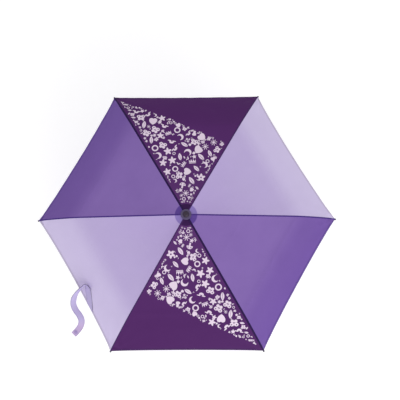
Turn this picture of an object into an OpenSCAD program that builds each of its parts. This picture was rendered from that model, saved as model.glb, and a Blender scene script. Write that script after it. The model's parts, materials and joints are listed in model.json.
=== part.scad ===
// Children's folding umbrella with six three-piece ribs and a telescopic shaft.
// Millimetres, +Z up the shaft. The origin is the middle of the hand grip, on the
// shaft's axis. The umbrella is drawn open, with its shaft drawn out.

/* [Handle] */
// Length of the moulded grip, without its end cap
grip_length = 52; // [44:1:70]
// Radius of the grip where the hand holds it
grip_radius = 13.5; // [12:0.5:16]
// Height of the end cap
end_cap_height = 10; // [8:1:14]
// Radius of the hole that the wrist loop passes through
loop_hole_radius = 2; // [1.5:0.5:2.5]

/* [Shaft] */
// Outer radius of the thin tube that the grip holds
lower_tube_radius = 4; // [3.5:0.1:5]
// Wall thickness of each tube
tube_wall = 0.8; // [0.6:0.1:1]
// Gap between one tube and the next
slide_gap = 0.08; // [0.05:0.01:0.1]
// Travel of each telescopic joint
tube_travel = 140; // [110:5:150]
// Length of the middle tube
middle_tube_length = 185; // [175:1:190]
// Length of the top tube below the rib pivots
top_tube_drop = 190.5; // [190:0.5:196]

/* [Crown and runner] */
// Radius of the circle that the rib pivots and stretcher pivots lie on
pivot_radius = 9; // [9:0.5:11]
// Outer radius of the crown and of the runner's slotted ring
crown_radius = 11.5; // [11.5:0.5:13]
// Radius of the wire that the ribs turn on
wire_radius = 0.6; // [0.5:0.1:0.7]
// Travel of the runner's button
button_travel = 1.5; // [1:0.1:1.5]

/* [Ribs] */
// Distance from a rib's pivot to its stretcher pivot, and the stretcher's length
arm_length = 80; // [76:1:80]
// Angle of that line below level when the umbrella is open
open_angle = 10.5; // [10:0.5:12]
// Angle between that line and the rib's own centreline
lug_angle = 3; // [2.5:0.5:3.5]
// Length of the inner rib piece
top_rib_length = 170; // [168:1:172]
// Length of the middle rib piece
middle_rib_length = 166; // [164:1:168]
// Slope of the middle rib piece
middle_slope = -8; // [-9:0.5:-7]
// Slope at the start of the curved outer rib
outer_slope = -14; // [-16:0.5:-12]
// How far the outer rib turns down along its length
outer_turn = 20; // [16:1:22]
// Length of the outer rib along its curve
outer_rib_length = 150; // [144:1:154]
// Length of the short cranks that the link rod joins
crank_length = 14; // [12:1:15]

/* [Canopy] */
// Height of the cloth above the centreline of the ribs
cloth_height = 5.6; // [5.4:0.1:6.5]
// Thickness of the solid that stands for the cloth
cloth_thickness = 0.8; // [0.6:0.1:1.2]
// How far the hem curves in between two tips
hem_curve = 8; // [4:1:14]
// Radius of the reinforcing disc under the cloth
rosette_radius = 34.5; // [30:0.5:36]
// Width of the closure strap
strap_width = 20; // [14:1:22]

/* [Hidden] */
$fn = 48;
RIBS = 6;
SECTOR = 360 / RIBS;

CHARCOAL = "#302d35";
STEEL = "#c9cbd1";
DARK_CLOTH = "#5f3675";
MID_CLOTH = "#7a5fa6";
LIGHT_CLOTH = "#b9add6";

// Heights along the shaft
handle_bottom = -(end_cap_height + 22);
grip_bottom = handle_bottom + end_cap_height;
grip_top = grip_bottom + grip_length;
collar_height = 4;
collar_top = grip_top + collar_height;
tube_foot = grip_bottom + 6;
telescope_floor = collar_top + 1.5;
middle_tube_foot = telescope_floor + tube_travel;
top_tube_foot = telescope_floor + 2 * tube_travel;
hub = top_tube_foot + top_tube_drop;
lower_tube_top = telescope_floor + middle_tube_length - 2;

middle_bore = lower_tube_radius + slide_gap;
middle_tube_radius = middle_bore + tube_wall;
top_bore = middle_tube_radius + slide_gap;
top_tube_radius = top_bore + tube_wall;
runner_bore = top_tube_radius + slide_gap;

// Rib sections, pins and eyes
pin_gap = 0.05;
eye_gap = 0.1;
groove_gap = 0.05;
small_pin = 0.7;
large_pin = 0.8;
tongue = 2;
rib_height = 2.8;
rib_half = rib_height / 2;
sheet_wall = 0.5;
top_rib_width = 4;
middle_rib_width = 3.4;
stretcher_width = 2.6;
stretcher_height = 2.4;
hinge_rise = 2.4;
wire_rib_radius = 1.3;
tip_radius = 3;
rod_gap_y = 3.4;
rod_thickness = 1;
rod_pin_reach = 4.7;
open_eye_radius = 2.3;

// Geometry of one rib in its own plane: x outward, y up from the rib pivots
function along(a) = [cos(a), sin(a)];
function above(a) = [-sin(a), cos(a)];
top_slope = -(open_angle - lug_angle);
rib_pivot = [pivot_radius, hub];
runner_pivot = rib_pivot - [0, 2 * arm_length * sin(open_angle)];
first_hinge = rib_pivot + top_rib_length * along(top_slope)
    + hinge_rise * above(top_slope);
second_hinge = first_hinge + middle_rib_length * along(middle_slope)
    - 2 * hinge_rise * above(middle_slope);
outer_straight = 5;
bend_radius = (outer_rib_length - outer_straight) * 180 / (PI * outer_turn);
bend_start = second_hinge + hinge_rise * above(outer_slope)
    + outer_straight * along(outer_slope);
bend_centre = bend_start - bend_radius * above(outer_slope);
function on_bend(t) = bend_centre + bend_radius * above(outer_slope - outer_turn * t);
rib_end = on_bend(1);
end_slope = outer_slope - outer_turn;

// The crank on the middle rib and the place where it takes the link rod
crank_lead = 10.25;
crank_angle = 180 + open_angle - crank_lead;
crank_pin = first_hinge + crank_length * along(crank_angle);
rod_start = runner_pivot + (arm_length - crank_length) * along(open_angle);
rod_end = crank_pin - 1.25 * above(top_slope);
rod_vector = rod_end - rod_start;
rod_length = norm(rod_vector);
rod_slope = atan2(rod_vector.y, rod_vector.x);

// Underside of the cloth above a rib, from the hub to the tip
tip_cloth_height = 3.8;
arc_steps = 6;
cloth_line = concat(
    [for (s = [-5, 12, 60, 115]) rib_pivot + s * along(top_slope)
        + cloth_height * above(top_slope)],
    [first_hinge - hinge_rise * above(middle_slope) + cloth_height * above(middle_slope)],
    [for (s = [55, 110, 160]) first_hinge + s * along(middle_slope)
        + (cloth_height - hinge_rise) * above(middle_slope)],
    [for (k = [0:arc_steps]) let (t = k / arc_steps, a = outer_slope - outer_turn * t)
        on_bend(t) + (cloth_height + (tip_cloth_height - cloth_height) * t) * above(a)]);
function cloth_z(r) = lookup(r, cloth_line);

/* ---- helpers ---- */

// Draws its children in the plane of a rib, at point p, with x along slope a
module in_plane(p, a) {
    translate([p.x, 0, p.y]) rotate([0, -a, 0]) children();
}

// Turns its children to rib number i
module at_rib(i) {
    rotate([0, 0, SECTOR * (i - 1)]) children();
}

// A round bar across the rib, from y0 to y1, at x, z of the current frame
module cross_bar(x, z, r, y0, y1) {
    translate([x, y1, z]) rotate([90, 0, 0]) cylinder(h = y1 - y0, r = r);
}

// A flat plate lying in the rib's plane, from y0 to y1, with the outline given
module side_plate(y0, y1) {
    translate([0, y1, 0]) rotate([90, 0, 0]) linear_extrude(y1 - y0) children();
}

// A folded sheet channel, open below, from x0 to x1, centred on height z
module channel(x0, x1, z, width, height) {
    difference() {
        translate([x0, -width / 2, z - height / 2]) cube([x1 - x0, width, height]);
        translate([x0 - 1, -width / 2 + sheet_wall, z - height / 2 - 1])
            cube([x1 - x0 + 2, width - 2 * sheet_wall, height - sheet_wall + 1]);
    }
}

// A ring of wire through the pivots
module wire_ring(r) {
    rotate_extrude() translate([pivot_radius, 0]) circle(r = r);
}

// Slots for the rib ends, cut outward from slot_floor
module rib_slots(z0, z1, slot_floor) {
    slot_width = tongue + 0.4;
    for (i = [1:RIBS]) at_rib(i)
        translate([slot_floor, -slot_width / 2, z0])
            cube([crown_radius - slot_floor + 1, slot_width, z1 - z0]);
}

/* ---- handle and shaft ---- */

module handle_end_cap() {
    spigot = 6;
    color(CHARCOAL) difference() {
        rotate_extrude() polygon([[0, handle_bottom],
            [grip_radius - 2, handle_bottom], [grip_radius - 0.5, handle_bottom + 1.5],
            [grip_radius - 0.5, grip_bottom], [spigot, grip_bottom],
            [spigot, grip_bottom + 4], [0, grip_bottom + 4]]);
        translate([0, 0, handle_bottom + 5]) rotate([0, 90, 0])
            cylinder(h = 4 * grip_radius, r = loop_hole_radius, center = true);
    }
}

module handle_grip() {
    spigot_bore = 6.05;
    shoulder = grip_top - 12;
    neck = 9;
    bulge = 6;
    color(CHARCOAL) difference() {
        rotate_extrude() polygon([[0, grip_bottom], [grip_radius - 0.6, grip_bottom],
            [grip_radius, grip_bottom + 0.6], [grip_radius, shoulder],
            [grip_radius - 1, shoulder + bulge], [neck + 1.2, grip_top - 1.2],
            [neck, grip_top], [0, grip_top]]);
        translate([0, 0, grip_bottom - 1]) cylinder(h = 5.2, r = spigot_bore);
        translate([0, 0, tube_foot - 0.1])
            cylinder(h = grip_length, r = lower_tube_radius + 0.05);
    }
}

module handle_collar() {
    bore = lower_tube_radius + 0.05;
    color(STEEL) rotate_extrude() polygon([[bore, grip_top], [8.5, grip_top],
        [8.5, collar_top - 1], [7.5, collar_top], [bore, collar_top]]);
}

module tube(foot, length, outer, bore) {
    translate([0, 0, foot]) difference() {
        cylinder(h = length, r = outer);
        translate([0, 0, -1]) cylinder(h = length + 2, r = bore);
    }
}

module lower_tube() {
    color(STEEL) tube(tube_foot, lower_tube_top - tube_foot,
        lower_tube_radius, lower_tube_radius - tube_wall);
}

module middle_tube() {
    color(STEEL) tube(middle_tube_foot, middle_tube_length,
        middle_tube_radius, middle_bore);
}

module top_tube() {
    color(STEEL) tube(top_tube_foot, hub + 2 - top_tube_foot,
        top_tube_radius, top_bore);
}

/* ---- crown ---- */

module crown() {
    crown_foot = -3;
    crown_top = 3.6;
    post_radius = 3;
    color(CHARCOAL) translate([0, 0, hub]) difference() {
        union() {
            translate([0, 0, crown_foot])
                cylinder(h = crown_top - crown_foot, r = crown_radius);
            cylinder(h = 13, r = post_radius);
        }
        translate([0, 0, crown_foot - 1])
            cylinder(h = 3 - crown_foot, r = top_tube_radius + 0.02);
        rib_slots(crown_foot - 1, 2.4, pivot_radius - 2.3);
        wire_ring(wire_radius + groove_gap);
    }
}

module crown_wire() {
    color(STEEL) translate([0, 0, hub]) wire_ring(wire_radius);
}

module cap_washer() {
    edge = 16.5;
    color("#6d6088") translate([0, 0, hub]) rotate_extrude()
        polygon([[3.05, 7.4], [edge - 1, 6.9], [edge, 7.2], [edge - 0.8, 8],
            [10, 8.8], [3.05, 8.9]]);
}

module ferrule_cap() {
    dome = 10;
    foot = 9;
    height = 8;
    color(CHARCOAL) translate([0, 0, hub + foot]) difference() {
        union() {
            cylinder(h = 1.5, r = dome);
            translate([0, 0, 1.5]) intersection() {
                translate([0, 0, height - 1.5 - 11]) sphere(r = 11);
                cylinder(h = 20, r = dome);
            }
        }
        translate([0, 0, -1]) cylinder(h = 6, r = 3.05);
    }
}

/* ---- runner ---- */

button_z = -20;
button_turn = SECTOR / 2;
ring_shift = button_travel / 2;
ring_hole = top_tube_radius + 0.1 + ring_shift;
ring_outer = ring_hole + 2;

module runner() {
    ring_top = 3;
    cavity = ring_outer + ring_shift + 0.25;
    housing = cavity + 1.6;
    color(CHARCOAL) translate([0, 0, runner_pivot.y]) difference() {
        union() {
            translate([0, 0, -ring_top]) cylinder(h = 2 * ring_top, r = crown_radius);
            translate([0, 0, button_z]) cylinder(h = -button_z, r = 8.3);
            translate([0, 0, button_z - 6]) cylinder(h = 11, r = housing);
        }
        translate([0, 0, -40]) cylinder(h = 60, r = runner_bore);
        rib_slots(-2.2, ring_top + 1, pivot_radius - 2.3);
        wire_ring(wire_radius + groove_gap);
        rotate([0, 0, button_turn]) translate([0, 0, button_z - 1.95]) {
            cylinder(h = 3.9, r = cavity);
            translate([0, -3.8, 0]) cube([housing + 1, 7.6, 3.9]);
        }
    }
}

module runner_wire() {
    color(STEEL) translate([0, 0, runner_pivot.y]) wire_ring(wire_radius);
}

module runner_button() {
    head_in = 13;
    color("#8d86a0") translate([0, 0, runner_pivot.y + button_z])
        rotate([0, 0, button_turn]) union() {
            translate([0, 0, -1.75]) difference() {
                union() {
                    translate([ring_shift, 0, 0]) cylinder(h = 3.5, r = ring_outer);
                    translate([0, -3.5, 0]) cube([head_in + 0.5, 7, 3.5]);
                }
                translate([ring_shift, 0, -1]) cylinder(h = 6, r = ring_hole);
            }
            intersection() {
                translate([head_in, -4, -3.4]) cube([2.2, 8, 6.8]);
                translate([head_in - 6, 0, 0]) sphere(r = 9);
            }
        }
}

module button_spring() {
    leaf = 0.3;
    half = 2;
    near = -(ring_outer - ring_shift) - 0.1;
    far = near - button_travel + 0.1;
    color(STEEL) translate([0, 0, runner_pivot.y + button_z])
        rotate([0, 0, button_turn]) translate([0, 0, -1.5]) linear_extrude(3)
            polygon([[far, -half], [near - leaf, 0], [far, half],
                [far + leaf, half], [near, 0], [far + leaf, -half]]);
}

/* ---- ribs ---- */

// Outline of an eye of radius r at the origin with a straight neck to x = reach
module eye_outline(r, reach, low, high) {
    circle(r = r);
    polygon([[0, -r], [reach, low], [reach, high], [0, r]]);
}

module top_rib(i) {
    eye = 1.9;
    lug_x = arm_length * cos(lug_angle);
    lug_z = -arm_length * sin(lug_angle);
    lug_eye = 1.9;
    lug_half = 4;
    channel_start = 4.5;
    inner = top_rib_width / 2 - sheet_wall;
    end_half = top_rib_width / 2 - 0.1;
    color(STEEL) at_rib(i) in_plane(rib_pivot, top_slope) {
        difference() {
            side_plate(-tongue / 2, tongue / 2)
                eye_outline(eye, channel_start + 4, -rib_half + 0.1, rib_half - 0.1);
            cross_bar(0, 0, wire_radius + eye_gap, -5, 5);
        }
        channel(channel_start, top_rib_length - 3.5, 0, top_rib_width, rib_height);
        for (side = [-1, 1]) side_plate(side > 0 ? inner : -inner - sheet_wall,
                side > 0 ? inner + sheet_wall : -inner) {
            translate([lug_x, lug_z]) circle(r = lug_eye);
            polygon([[lug_x - lug_half, 0], [lug_x - lug_eye, lug_z],
                [lug_x + lug_eye, lug_z], [lug_x + lug_half, 0]]);
        }
        cross_bar(lug_x, lug_z, small_pin, -2.3, 2.3);
        side_plate(-end_half, end_half) {
            translate([top_rib_length, hinge_rise]) circle(r = eye);
            polygon([[top_rib_length - 9, -rib_half + 0.1],
                [top_rib_length - 1.5, -rib_half + 0.1],
                [top_rib_length + 1.7, 1.7], [top_rib_length - 1.6, 3.4],
                [top_rib_length - 4, rib_half], [top_rib_length - 9, rib_half]]);
        }
        cross_bar(top_rib_length, hinge_rise, large_pin, -3.2, 3.2);
    }
}

module stretcher(i) {
    bar_start = 4.5;
    bar_end = arm_length - 5;
    root_eye = 1.9;
    far_eye = 1.5;
    color(STEEL) at_rib(i) in_plane(runner_pivot, open_angle) {
        difference() {
            side_plate(-tongue / 2, tongue / 2) union() {
                eye_outline(root_eye, bar_start + 4, -1.1, 1.1);
                translate([arm_length, 0]) circle(r = far_eye);
                polygon([[bar_end - 4, -1.1], [arm_length, -far_eye],
                    [arm_length, far_eye], [bar_end - 4, 1.1]]);
            }
            cross_bar(0, 0, wire_radius + eye_gap, -5, 5);
            cross_bar(arm_length, 0, small_pin + pin_gap, -5, 5);
        }
        channel(bar_start, bar_end, 0, stretcher_width, stretcher_height);
        cross_bar(arm_length - crank_length, 0, small_pin, 0, rod_pin_reach);
    }
}

module middle_rib(i) {
    ear_in = 2.2;
    ear_out = 3;
    ear_eye = 2.2;
    heel = [4.5, 8];
    line = -hinge_rise;
    lower_ear_in = 1.2;
    lower_ear_eye = 1.9;
    end_x = middle_rib_length;
    end_z = -2 * hinge_rise;
    crank_turn = crank_angle - middle_slope;
    color(STEEL) at_rib(i) in_plane(first_hinge, middle_slope) {
        difference() {
            union() {
                for (side = [-1, 1]) side_plate(side > 0 ? ear_in : -ear_out,
                        side > 0 ? ear_out : -ear_in) {
                    circle(r = ear_eye);
                    polygon([[-1, -2], [heel[1], line - rib_half],
                        [heel[1], line + rib_half], [1, 2]]);
                }
                side_plate(ear_in, ear_out) rotate(crank_turn) {
                    translate([crank_length, 0]) circle(r = 1.5);
                    translate([0, -1.2]) square([crank_length, 2.4]);
                }
            }
            cross_bar(0, 0, large_pin + pin_gap, -5, 5);
        }
        translate([heel[0], -ear_out, line - rib_half])
            cube([heel[1] - heel[0], 2 * ear_out, rib_height]);
        channel(heel[1] - 0.5, end_x - 3.5, line, middle_rib_width, rib_height);
        for (side = [-1, 1]) side_plate(
                side > 0 ? lower_ear_in : -middle_rib_width / 2,
                side > 0 ? middle_rib_width / 2 : -lower_ear_in) {
            translate([end_x, end_z]) circle(r = lower_ear_eye);
            polygon([[end_x - 8, line], [end_x - 6, line - rib_half],
                [end_x - 1.2, end_z - 1.4], [end_x + 1.9, end_z],
                [end_x - 3.5, line + rib_half - 0.3]]);
        }
        cross_bar(end_x, end_z, small_pin, -2, 2);
        rotate([0, -crank_turn, 0])
            cross_bar(crank_length, 0, small_pin, ear_out - 0.4, rod_pin_reach);
    }
}

module outer_rib(i) {
    eye = 1.8;
    blade = 0.95;
    barrel = 1.6;
    color(STEEL) at_rib(i) in_plane(second_hinge, outer_slope) {
        difference() {
            side_plate(-blade, blade) {
                circle(r = eye);
                polygon([[-0.5, eye - 0.1], [1.6, -0.8], [5, hinge_rise - 1.2],
                    [5, hinge_rise + 1.2], [3, hinge_rise + 1.2]]);
            }
            cross_bar(0, 0, small_pin + pin_gap, -5, 5);
        }
        translate([3, 0, hinge_rise]) rotate([0, 90, 0]) cylinder(h = 6, r = barrel);
        translate([outer_straight, 0, hinge_rise - bend_radius]) rotate([90, 0, 0])
            rotate([0, 0, 90 - outer_turn]) rotate_extrude(angle = outer_turn, $fn = 360)
                translate([bend_radius, 0]) circle(r = wire_rib_radius, $fn = 48);
    }
}

module rib_tip(i) {
    back = 8;
    front = 4;
    color(CHARCOAL) at_rib(i) in_plane(rib_end, end_slope) rotate([0, 90, 0])
        difference() {
            union() {
                translate([0, 0, -back]) cylinder(h = 1, r1 = 2.2, r2 = tip_radius);
                translate([0, 0, 1 - back]) cylinder(h = back - 1, r = tip_radius);
                sphere(r = tip_radius);
                cylinder(h = front - 1.6, r = 1.8);
                translate([0, 0, front - 1.6]) sphere(r = 1.8);
            }
            translate([-bend_radius, 0, 0]) rotate([90, 0, 0])
                rotate([0, 0, -1.4]) rotate_extrude(angle = 1.5, $fn = 360)
                    translate([bend_radius, 0])
                        circle(r = wire_rib_radius + 0.02, $fn = 48);
        }
}

module link_rod(i) {
    color(STEEL) at_rib(i) in_plane(rod_start, rod_slope)
        difference() {
            side_plate(rod_gap_y, rod_gap_y + rod_thickness) {
                circle(r = 1.7);
                translate([0, -1]) square([rod_length - open_eye_radius, 2]);
                translate([rod_length, 0]) circle(r = open_eye_radius + 0.9);
            }
            cross_bar(0, 0, small_pin + pin_gap, 0, 8);
            cross_bar(rod_length, 0, open_eye_radius, 0, 8);
        }
}

/* ---- canopy ---- */

cloth_columns = 10;
cloth_rows = len(cloth_line);
last_gap = norm(cloth_line[cloth_rows - 1] - cloth_line[cloth_rows - 2]);
panel_shift = 0.4;

// A point of the cloth, u across the panel from rib to rib, row k from the hub
function hem_share(u, k) = k == cloth_rows - 1
    ? hem_curve / last_gap * 4 * u * (1 - u) : 0;
function row_point(u, k) = cloth_line[k]
    + hem_share(u, k) * (cloth_line[max(k - 1, 0)] - cloth_line[k]);
function cloth_point(u, k, lift) = let (
        p = row_point(u, k),
        side = p.x * ((1 - u) * [1, 0] + u * [cos(SECTOR), sin(SECTOR)])
    ) [side.x, side.y, p.y + lift];

// Triangles that close a grid of points laid over a second grid of the same size
function split(a, b, c, d) = [[a, b, c], [a, c, d]];
function flat_list(pairs) = [for (p = pairs) for (t = p) t];
function sheet_faces(rows, columns) = let (
        n = rows * columns,
        cells = [for (k = [0:rows - 2], c = [0:columns - 2]) k * columns + c],
        first = [for (k = [0:rows - 2]) k * columns],
        last = [for (k = [0:rows - 2]) k * columns + columns - 1],
        start = [for (c = [0:columns - 2]) c],
        end = [for (c = [0:columns - 2]) n - columns + c]
    ) flat_list(concat(
        [for (a = cells) split(a, a + 1, a + columns + 1, a + columns)],
        [for (a = cells) split(a + n, a + n + columns, a + n + columns + 1, a + n + 1)],
        [for (a = first) split(a, a + columns, a + columns + n, a + n)],
        [for (a = last) split(a, a + n, a + columns + n, a + columns)],
        [for (a = start) split(a, a + n, a + n + 1, a + 1)],
        [for (a = end) split(a, a + 1, a + n + 1, a + n)]));

module panel(i, tint) {
    points = [for (lift = [cloth_thickness, 0], k = [0:cloth_rows - 1],
            c = [0:cloth_columns]) cloth_point(c / cloth_columns, k, lift)];
    color(tint) at_rib(i)
        translate(panel_shift * [cos(SECTOR / 2), sin(SECTOR / 2), 0])
            polyhedron(points, sheet_faces(cloth_rows, cloth_columns + 1));
}

module canopy_rosette() {
    rim = [rosette_radius, 1.2];
    color("#6f62a0") translate([0, 0, hub]) rotate_extrude()
        polygon([[3.1, 3.7], [crown_radius, 3.7], [rim.x, rim.y - 0.5],
            [rim.x, rim.y], [crown_radius, 4.2], [3.1, 4.2]]);
}

// Closure strap, from its sewn end: each entry is a place in plan, a height and
// the turn of the strap about its own line. The sewn part's heights are above
// the cloth, the free part's above the cloth's rim.
strap_seat = 1.2;
strap_thickness = 1;
rim_z = cloth_line[cloth_rows - 1].y;
strap_sewn = [
    [-304, -277, strap_seat, -33], [-305, -262, strap_seat, -29],
    [-307, -243, strap_seat, -27], [-309, -226, strap_seat + 0.6, -27],
    [-310, -216, strap_seat + 4.4, -45]];
strap_free = [
    [-312, -211, 39, -75], [-316, -209, 41, -86], [-323, -214, 37, -86],
    [-336, -224, 26, -80], [-349, -237, 14, -66], [-357, -252, 4, -48],
    [-360, -268, -8, -38], [-355, -285, -19, -32], [-345, -301, -29, -26],
    [-339, -318, -39, -18], [-343, -335, -49, -10], [-354, -350, -57, 0],
    [-368, -364, -63, 0]];

// Height of the cloth's underside at a place in plan, on the strap's panel
function seat_z(p) = cloth_z(-(p.x * cos(30) + p.y * sin(30)) / cos(SECTOR / 2));
strap_points = concat(
    [for (e = strap_sewn) [e[0], e[1], seat_z(e) + cloth_thickness + e[2]]],
    [for (e = strap_free) [e[0], e[1], rim_z + e[2]]]);
strap_turns = [for (e = concat(strap_sewn, strap_free)) e[3]];

function flat_unit(v) = let (w = [v.x, v.y, 0]) w / norm(w);
function strap_side(k) = let (
        v = strap_points[min(k + 1, len(strap_points) - 1)] - strap_points[max(k - 1, 0)],
        w = flat_unit(v)
    ) [-w.y, w.x, 0];
function ribbon(lift) = [for (k = [0:len(strap_points) - 1], s = [-1, 1])
    let (side = strap_side(k), t = strap_turns[k])
        strap_points[k] + s * strap_width / 2 * (cos(t) * side + [0, 0, sin(t)])
            + lift * (-sin(t) * side + [0, 0, cos(t)])];

module closure_strap() {
    color(LIGHT_CLOTH) polyhedron(concat(ribbon(strap_thickness), ribbon(0)),
        sheet_faces(len(strap_points), 2));
}

module strap_fastener() {
    gap = 0.3;
    b = strap_points[len(strap_points) - 1];
    a = strap_points[len(strap_points) - 2];
    way = b - a;
    color("#d8d2e6") translate(a + 0.65 * way)
        rotate([0, -atan2(way.z, norm([way.x, way.y])), atan2(way.y, way.x)])
            translate([0, 0, strap_thickness + gap]) cylinder(h = 1.2, r = 5);
}

handle_grip();
handle_end_cap();
handle_collar();
lower_tube();
middle_tube();
top_tube();
crown();
crown_wire();
ferrule_cap();
cap_washer();
runner();
runner_wire();
runner_button();
button_spring();
canopy_rosette();
closure_strap();
strap_fastener();
panel(1, LIGHT_CLOTH);  // panel_1
panel(2, DARK_CLOTH);  // panel_2
panel(3, MID_CLOTH);  // panel_3
panel(4, LIGHT_CLOTH);  // panel_4
panel(5, DARK_CLOTH);  // panel_5
panel(6, MID_CLOTH);  // panel_6
for (i = [1:RIBS]) {
    top_rib(i);
    stretcher(i);
    middle_rib(i);
    outer_rib(i);
    link_rod(i);
    rib_tip(i);
}
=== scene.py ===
"""Looks of the children's folding umbrella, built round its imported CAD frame.

Metres, +Z up the shaft. Ribs stand at azimuths 0, 60 ... 300 degrees; panel i lies
between rib i and the next. The canopy is one curved surface, cut where the real
frame folds: along each rib, along the middle of each panel, and across at the two
rows of rib joints. Each cut piece rides on the rib piece under it.
"""
import bpy
import json
import math
import numpy as np
from mathutils import Matrix, Vector, noise


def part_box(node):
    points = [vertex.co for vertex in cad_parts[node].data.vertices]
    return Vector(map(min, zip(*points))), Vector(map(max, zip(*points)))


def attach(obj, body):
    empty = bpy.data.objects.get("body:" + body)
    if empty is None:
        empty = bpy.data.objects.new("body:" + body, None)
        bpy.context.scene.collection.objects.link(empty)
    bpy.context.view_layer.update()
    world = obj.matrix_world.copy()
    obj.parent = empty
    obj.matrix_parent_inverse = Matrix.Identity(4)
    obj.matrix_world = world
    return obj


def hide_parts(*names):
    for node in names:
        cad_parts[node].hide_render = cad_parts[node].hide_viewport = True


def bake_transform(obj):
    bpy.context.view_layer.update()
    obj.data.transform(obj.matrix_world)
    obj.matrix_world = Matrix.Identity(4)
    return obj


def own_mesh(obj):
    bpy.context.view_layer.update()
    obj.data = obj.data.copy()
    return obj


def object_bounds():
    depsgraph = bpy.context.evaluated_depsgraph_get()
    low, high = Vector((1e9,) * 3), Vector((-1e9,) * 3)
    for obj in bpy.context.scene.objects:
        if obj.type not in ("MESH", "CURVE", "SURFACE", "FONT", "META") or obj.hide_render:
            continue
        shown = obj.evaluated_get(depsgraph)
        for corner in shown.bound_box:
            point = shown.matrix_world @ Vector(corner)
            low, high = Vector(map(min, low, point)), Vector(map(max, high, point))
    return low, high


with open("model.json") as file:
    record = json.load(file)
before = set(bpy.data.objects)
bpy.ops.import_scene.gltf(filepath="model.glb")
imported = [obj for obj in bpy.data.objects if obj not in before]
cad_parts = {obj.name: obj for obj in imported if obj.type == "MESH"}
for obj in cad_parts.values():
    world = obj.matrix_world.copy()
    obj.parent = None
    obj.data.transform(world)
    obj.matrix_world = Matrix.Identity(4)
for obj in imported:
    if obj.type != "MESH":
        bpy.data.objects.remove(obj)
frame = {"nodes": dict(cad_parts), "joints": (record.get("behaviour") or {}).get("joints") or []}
cad_low, cad_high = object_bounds()
nodes = frame["nodes"]
joints = {j["name"]: j for j in frame["joints"]}

RIBS = 6
ROOT_3 = math.sqrt(3)
TAN_30 = math.tan(math.radians(30))
HUB = joints["canopy_fold"]["pos_m"][2]      # height of the wire that the ribs turn on
INNER_X, _, INNER_Z = joints["middle_rib_1_hinge"]["pos_m"]     # the inner rib joint of rib 1
OUTER_X, _, OUTER_Z = joints["outer_rib_1_hinge"]["pos_m"]      # its outer rib joint
CLOTH = 0.0006      # thickness of the cloth
CORNER = 0.0035     # how far each corner of the cloth stops short of its tip
# how far each panel's hem curves in between two tips
HEM_INSET = (0.012, 0.0035, 0.011, 0.012, 0.004, 0.009)
HEM_FULLNESS = 0.6      # below 1, the hem's curve turns in sooner than an arc
PANEL_CLOTHS = ("light", "dark", "mid", "light", "dark", "mid")


# ---------------------------------------------------------------- node helpers

class Val:
    """A number in a node tree. Sums of these make Math nodes, so patterns read as formulas."""

    def __init__(self, tree, socket):
        self.tree, self.socket = tree, socket

    def op(self, kind, *others):
        n = self.tree.nodes.new("ShaderNodeMath")
        n.operation = kind
        for k, v in enumerate((self,) + others):
            put(self.tree, n.inputs[k], v)
        return Val(self.tree, n.outputs[0])

    def __add__(self, other):
        return self.op("ADD", other)

    def __radd__(self, other):
        return self.op("ADD", other)

    def __sub__(self, other):
        return self.op("SUBTRACT", other)

    def __rsub__(self, other):
        return (self * -1.0) + other

    def __mul__(self, other):
        return self.op("MULTIPLY", other)

    def __rmul__(self, other):
        return self.op("MULTIPLY", other)

    def __truediv__(self, other):
        return self.op("DIVIDE", other)

    def __lt__(self, other):
        return self.op("LESS_THAN", other)

    def __gt__(self, other):
        return self.op("GREATER_THAN", other)

    def __and__(self, other):
        return self.op("MULTIPLY", other)

    def __or__(self, other):
        return self.op("MAXIMUM", other)

    def abs(self):
        return self.op("ABSOLUTE")

    def sq(self):
        return self * self

    def ramp(self, a, b):
        """0 below a, 1 above b, smooth between."""
        n = self.tree.nodes.new("ShaderNodeMapRange")
        n.interpolation_type = "SMOOTHSTEP"
        put(self.tree, n.inputs["Value"], self)
        n.inputs["From Min"].default_value, n.inputs["From Max"].default_value = a, b
        return Val(self.tree, n.outputs["Result"])


def put(tree, socket, value):
    if isinstance(value, Val):
        tree.links.new(value.socket, socket)
    elif isinstance(value, bpy.types.NodeSocket):
        tree.links.new(value, socket)
    else:
        socket.default_value = value


def srgb(r, g, b):
    """Linear colour, with alpha, from 0-255 display values."""
    shares = [c / 255 for c in (r, g, b)]
    return tuple(c / 12.92 if c <= 0.0404 else ((c + 0.055) / 1.055) ** 2.4 for c in shares) + (1.0,)


def shade(colour, factor):
    """The same colour, lighter or darker."""
    return tuple(min(1.0, c * factor) for c in colour[:3]) + (1.0,)


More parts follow.
